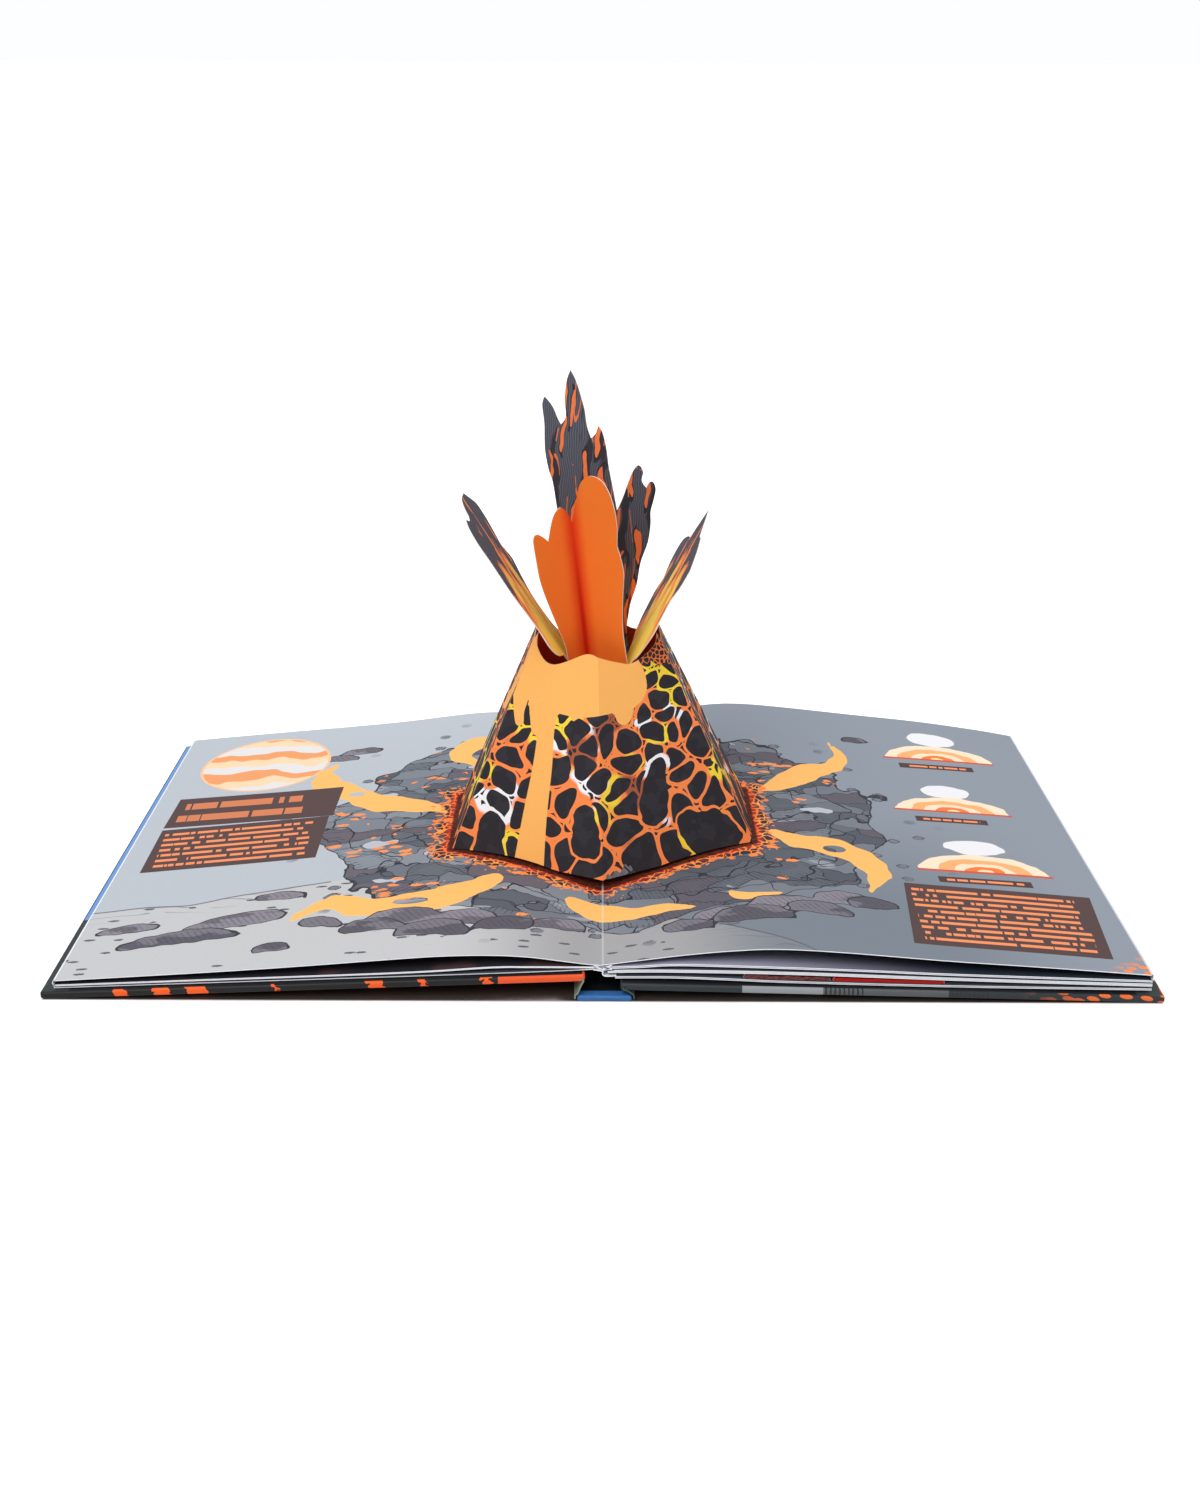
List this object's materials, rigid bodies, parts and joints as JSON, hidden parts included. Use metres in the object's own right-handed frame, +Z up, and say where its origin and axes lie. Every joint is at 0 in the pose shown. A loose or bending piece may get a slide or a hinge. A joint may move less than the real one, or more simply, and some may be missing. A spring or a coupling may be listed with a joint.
{
  "type": "pop up book",
  "caption": "Hardback pop up book lying open, with a card volcano cone and erupting paper plumes standing on the spread, and covers hinged at the spine.",
  "frame": {"origin": "on the table, at the bottom centre of the open book's bounding box, under the gutter", "axes": "+X along the open book from the front cover to the back cover, +Y from the book's front edge to its back edge, +Z up"},
  "size_m": [0.5014, 0.294, 0.2505],
  "materials": {
    "front_cover": "printed paper over board, satin",
    "back_cover": "printed paper over board, satin",
    "spine": "blue paper over board, satin",
    "pages": "uncoated printed card, matt",
    "folded_popups": "uncoated printed card, matt",
    "cone": "uncoated printed card, matt",
    "fire_card": "uncoated printed card, matt",
    "smoke_card": "uncoated printed card, matt"
  },
  "bodies": {
    "book_block": {"spine": "spine", "page_block": "pages", "folded_popup_1": "folded_popups", "folded_popup_2": "folded_popups", "volcano_cone": "cone", "plume_front": "fire_card", "plume_back": "smoke_card", "spray_left": "smoke_card", "spray_right": "smoke_card"},
    "front_cover": {"front_cover": "front_cover"},
    "back_cover": {"back_cover": "back_cover"}
  },
  "joints": [
    {"name": "front_cover_hinge", "type": "hinge", "parent": "book_block", "child": "front_cover", "pos_m": [-0.01195, 0, 0.00095], "axis": [0, -1, 0], "range_deg": [0, 90]},
    {"name": "back_cover_hinge", "type": "hinge", "parent": "book_block", "child": "back_cover", "pos_m": [0.01355, 0, 0.00095], "axis": [0, 1, 0], "range_deg": [0, 90]}
  ]
}
